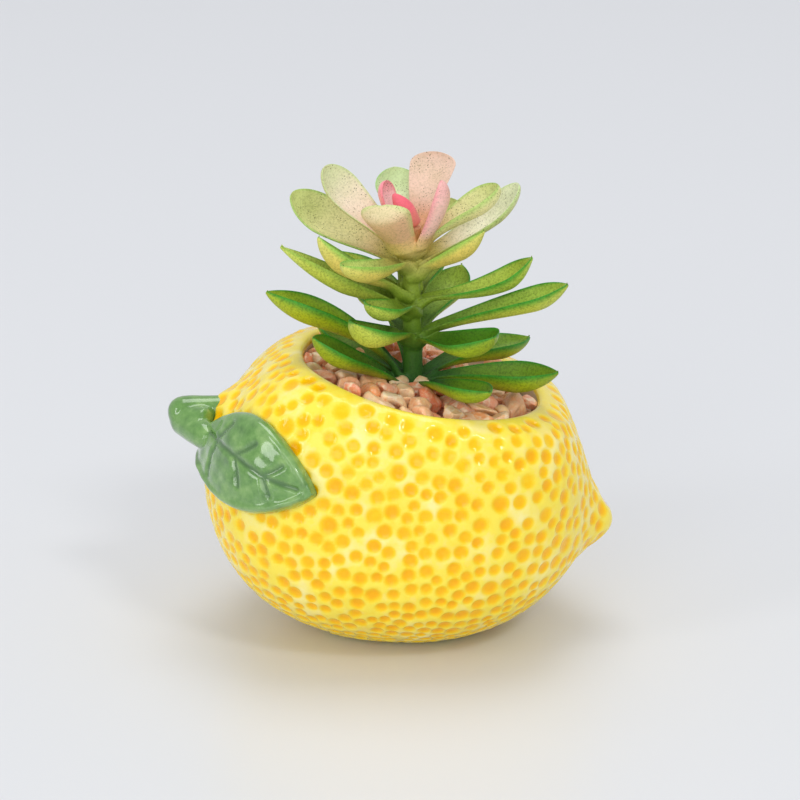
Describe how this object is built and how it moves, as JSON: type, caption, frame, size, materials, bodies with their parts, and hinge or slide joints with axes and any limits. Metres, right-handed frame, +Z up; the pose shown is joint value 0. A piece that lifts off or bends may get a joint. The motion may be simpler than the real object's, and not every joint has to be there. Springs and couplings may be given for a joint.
{
  "type": "potted artificial succulent",
  "caption": "Artificial succulent with tiers of cupped leaves, green at the foot and pink at the top, in a dimpled lemon-shaped glazed pot topped with gravel.",
  "frame": {"origin": "middle of the pot's flat foot, on the surface that it stands on", "axes": "+Z up, +X towards the lemon's nose and -X towards its stalk, -Y towards the viewer and the clay leaf"},
  "size_m": [0.12, 0.0861, 0.1281],
  "materials": {
    "yellow_glaze": "glossy transparent glaze, paler on the ridges and deeper in the dimples",
    "green_glaze": "glossy mottled green glaze",
    "foam": "matt dry floral foam",
    "gravel_stone": "tumbled, slightly glossy, salmon pink, cream and tan",
    "stem_plastic": "satin moulded plastic, dark green turning olive yellow upwards",
    "leaf_green": "satin moulded plastic, bright green rims and olive undersides",
    "leaf_lime": "satin moulded plastic, lime to cream with dark speckles",
    "leaf_blush": "satin moulded plastic, cream green to peach pink with dark speckles",
    "bud_pink": "satin moulded plastic, hot pink"
  },
  "bodies": {
    "root": {"pot_body": "yellow_glaze", "pot_stalk": "green_glaze", "pot_leaf": "green_glaze", "foam_block": "foam", "gravel_layer": "gravel_stone", "plant_stem": "stem_plastic", "centre_bud": "bud_pink", "leaf_tier1_front_left": "leaf_green", "leaf_tier1_front_right": "leaf_green", "leaf_tier1_right": "leaf_green", "leaf_tier1_back_right": "leaf_green", "leaf_tier1_back": "leaf_green", "leaf_tier1_back_left": "leaf_green", "leaf_tier1_left": "leaf_green", "leaf_tier2_front_left": "leaf_green", "leaf_tier2_front_right": "leaf_green", "leaf_tier2_right": "leaf_green", "leaf_tier2_back_right": "leaf_green", "leaf_tier2_back": "leaf_green", "leaf_tier3_front": "leaf_green", "leaf_tier3_left": "leaf_green", "leaf_tier3_back_left": "leaf_green", "leaf_tier3_back": "leaf_green", "leaf_tier3_right": "leaf_green", "leaf_tier4_left": "leaf_lime", "leaf_tier4_front_left": "leaf_lime", "leaf_tier4_right": "leaf_lime", "leaf_tier4_back": "leaf_lime", "leaf_tier5_left": "leaf_lime", "leaf_tier5_back_left": "leaf_lime", "leaf_tier5_back_right": "leaf_lime", "leaf_tier5_right": "leaf_lime", "leaf_tier5_right_inner": "leaf_lime", "leaf_tier6_left": "leaf_blush", "leaf_tier6_front_left": "leaf_blush", "leaf_tier6_back_left": "leaf_blush", "leaf_tier6_back": "leaf_blush", "leaf_tier6_right": "leaf_blush", "leaf_tier6_small_left": "leaf_blush"}
  },
  "joints": []
}
